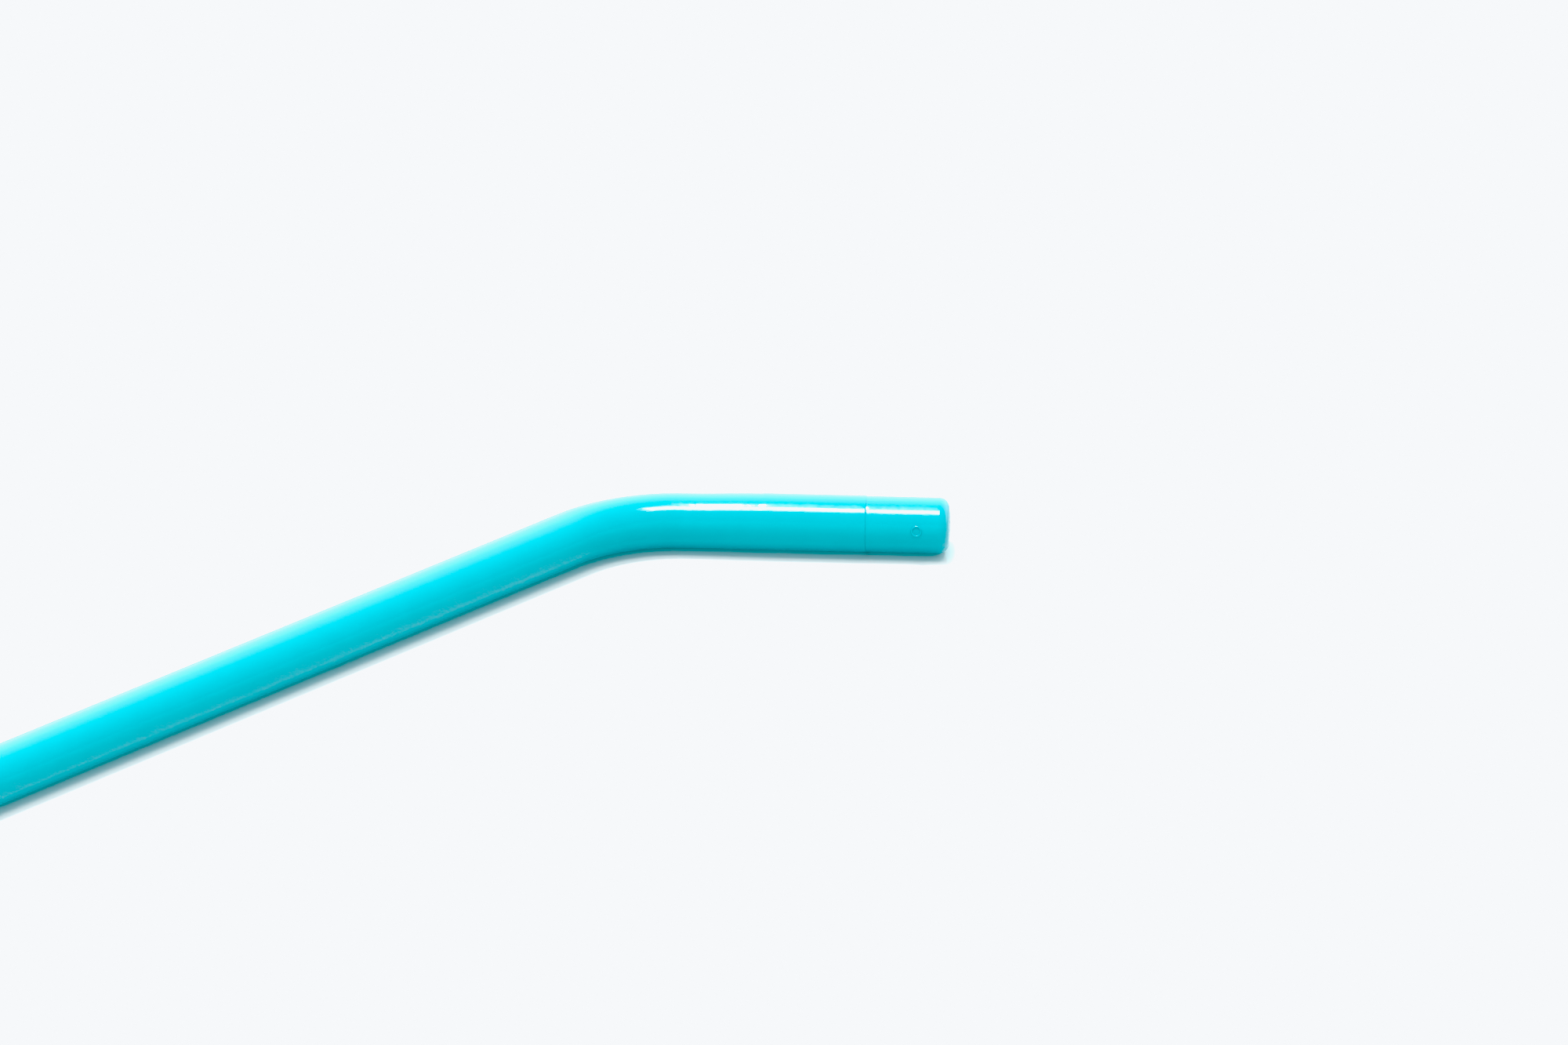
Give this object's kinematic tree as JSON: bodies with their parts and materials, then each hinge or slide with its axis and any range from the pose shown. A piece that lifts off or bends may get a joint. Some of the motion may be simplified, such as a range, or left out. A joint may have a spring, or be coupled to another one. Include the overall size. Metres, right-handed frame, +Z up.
{
  "type": "saliva ejector tip",
  "caption": "Disposable dental suction tube, bent near its tip, that a hidden wire holds in shape; a bonded cap takes in saliva and the tail plugs into a valve.",
  "frame": {"origin": "middle of the part's footprint, on the surface that it lies on", "axes": "+X along the shank from the tail to the bend, which is the longest side of its box; +Z up; the tip bends towards -Y"},
  "size_m": [0.1404, 0.0334, 0.0067],
  "materials": {
    "tube_pvc": "smooth extruded PVC, glossy, opaque turquoise",
    "cap_plastic": "moulded, glossy, opaque turquoise",
    "shaping_wire": "drawn annealed steel wire, thinly plated"
  },
  "bodies": {
    "shank": {"tube_shank": "tube_pvc", "wire_shank": "shaping_wire"},
    "link_1": {"tube_link_1": "tube_pvc", "wire_link_1": "shaping_wire"},
    "link_2": {"tube_link_2": "tube_pvc", "wire_link_2": "shaping_wire"},
    "link_3": {"tube_link_3": "tube_pvc", "wire_link_3": "shaping_wire"},
    "link_4": {"tube_link_4": "tube_pvc", "wire_link_4": "shaping_wire"},
    "link_5": {"tube_link_5": "tube_pvc", "wire_link_5": "shaping_wire"},
    "link_6": {"tube_link_6": "tube_pvc", "wire_link_6": "shaping_wire"},
    "link_7": {"tube_link_7": "tube_pvc", "wire_link_7": "shaping_wire"},
    "tip": {"tube_tip": "tube_pvc", "wire_tip": "shaping_wire", "tip_cap": "cap_plastic"}
  },
  "joints": [
    {"name": "tube_bend", "type": "hinge", "parent": "shank", "child": "link_1", "pos_m": [0.03461, 0.01346, 0.00325], "axis": [0, 0, -1], "range_deg": [-5.85, 5.4]},
    {"name": "tube_bend_2", "type": "hinge", "parent": "link_1", "child": "link_2", "pos_m": [0.03647, 0.01327, 0.00325], "axis": [0, 0, -1], "range_deg": [-5.85, 5.4]},
    {"name": "tube_bend_3", "type": "hinge", "parent": "link_2", "child": "link_3", "pos_m": [0.03829, 0.0129, 0.00325], "axis": [0, 0, -1], "range_deg": [-5.85, 5.4]},
    {"name": "tube_bend_4", "type": "hinge", "parent": "link_3", "child": "link_4", "pos_m": [0.04007, 0.01233, 0.00325], "axis": [0, 0, -1], "range_deg": [-5.85, 5.4]},
    {"name": "tube_bend_5", "type": "hinge", "parent": "link_4", "child": "link_5", "pos_m": [0.04177, 0.01159, 0.00325], "axis": [0, 0, -1], "range_deg": [-5.85, 5.4]},
    {"name": "tube_bend_6", "type": "hinge", "parent": "link_5", "child": "link_6", "pos_m": [0.0434, 0.01068, 0.00325], "axis": [0, 0, -1], "range_deg": [-5.85, 5.4]},
    {"name": "tube_bend_7", "type": "hinge", "parent": "link_6", "child": "link_7", "pos_m": [0.04492, 0.00961, 0.00325], "axis": [0, 0, -1], "range_deg": [-5.85, 5.4]},
    {"name": "tube_bend_8", "type": "hinge", "parent": "link_7", "child": "tip", "pos_m": [0.04633, 0.00839, 0.00325], "axis": [0, 0, -1], "range_deg": [-5.85, 5.4]}
  ],
  "couplings": [
    {"joint": "tube_bend_2", "follows": "tube_bend", "ratio": 1},
    {"joint": "tube_bend_3", "follows": "tube_bend", "ratio": 1},
    {"joint": "tube_bend_4", "follows": "tube_bend", "ratio": 1},
    {"joint": "tube_bend_5", "follows": "tube_bend", "ratio": 1},
    {"joint": "tube_bend_6", "follows": "tube_bend", "ratio": 1},
    {"joint": "tube_bend_7", "follows": "tube_bend", "ratio": 1},
    {"joint": "tube_bend_8", "follows": "tube_bend", "ratio": 1}
  ]
}
